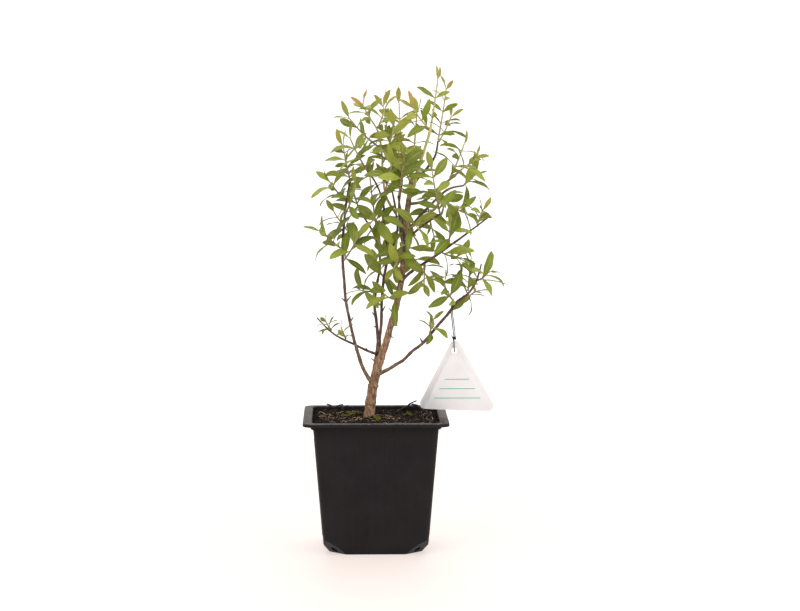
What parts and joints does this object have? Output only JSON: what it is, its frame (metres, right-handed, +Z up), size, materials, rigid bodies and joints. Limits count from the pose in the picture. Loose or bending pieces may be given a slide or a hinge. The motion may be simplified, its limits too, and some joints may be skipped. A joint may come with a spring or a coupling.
{
  "type": "pomegranate bonsai in nursery pot",
  "caption": "Young several-stemmed pomegranate tree with slender green leaves in a square black nursery pot of peat, with a triangular hang tag on a tie",
  "frame": {"origin": "middle of the pot's base, on the surface the pot stands on", "axes": "+Z up; +X to the right of the picture; +Y into the picture, away from the viewer"},
  "size_m": [0.1847, 0.1436, 0.4356],
  "materials": {
    "pot_plastic": "semi-matte moulded black plastic, dusty on the rim",
    "peat_soil": "dark moist peat with bark bits, fine roots and moss",
    "bark": "tan flaky bark, darker on thin stems, green on young shoots",
    "leaf_green": "satin leaf, yellow-green to mid green, bronze at the tips",
    "tag_plastic": "milky white translucent sheet",
    "tie_cord": "black twisted cord"
  },
  "bodies": {
    "root": {"pot": "pot_plastic", "soil": "peat_soil", "spray_back_inner": "leaf_green", "spray_back_left": "leaf_green", "spray_back_low": "leaf_green", "spray_back_right": "leaf_green", "spray_back_right_in": "leaf_green", "spray_back_right_tip": "leaf_green", "spray_centre_left": "leaf_green", "spray_crown_back": "leaf_green", "spray_crown_back_left": "leaf_green", "spray_crown_centre": "leaf_green", "spray_crown_dark": "leaf_green", "spray_crown_mid": "leaf_green", "spray_front_low": "leaf_green", "spray_front_right": "leaf_green", "spray_front_stem": "leaf_green", "spray_high_front": "leaf_green", "spray_high_mid": "leaf_green", "spray_high_tip": "leaf_green", "spray_inner_front": "leaf_green", "spray_inner_tip": "leaf_green", "spray_leader_front": "leaf_green", "spray_leader_left": "leaf_green", "spray_leader_low": "leaf_green", "spray_leader_mid": "leaf_green", "spray_leader_side": "leaf_green", "spray_leader_tip": "leaf_green", "spray_low_left": "leaf_green", "spray_low_left_twig": "leaf_green", "spray_low_stem": "leaf_green", "spray_low_stem_back": "leaf_green", "spray_mid_left": "leaf_green", "spray_pink_front": "leaf_green", "spray_pink_high": "leaf_green", "spray_pink_left": "leaf_green", "spray_pink_tip": "leaf_green", "spray_right_front": "leaf_green", "spray_right_low": "leaf_green", "spray_right_mid": "leaf_green", "spray_right_tip": "leaf_green", "spray_stem_mid": "leaf_green", "spray_stem_tip": "leaf_green", "spray_tag_back": "leaf_green", "spray_tag_end": "leaf_green", "spray_tag_low": "leaf_green", "spray_tag_mid": "leaf_green", "spray_tag_top": "leaf_green", "spray_top_right": "leaf_green", "spray_top_spear": "leaf_green", "spray_top_twin": "leaf_green", "spray_trunk_front": "leaf_green", "spray_trunk_low": "leaf_green", "tag": "tag_plastic", "tag_tie": "tie_cord", "tree_wood": "bark"}
  },
  "joints": []
}
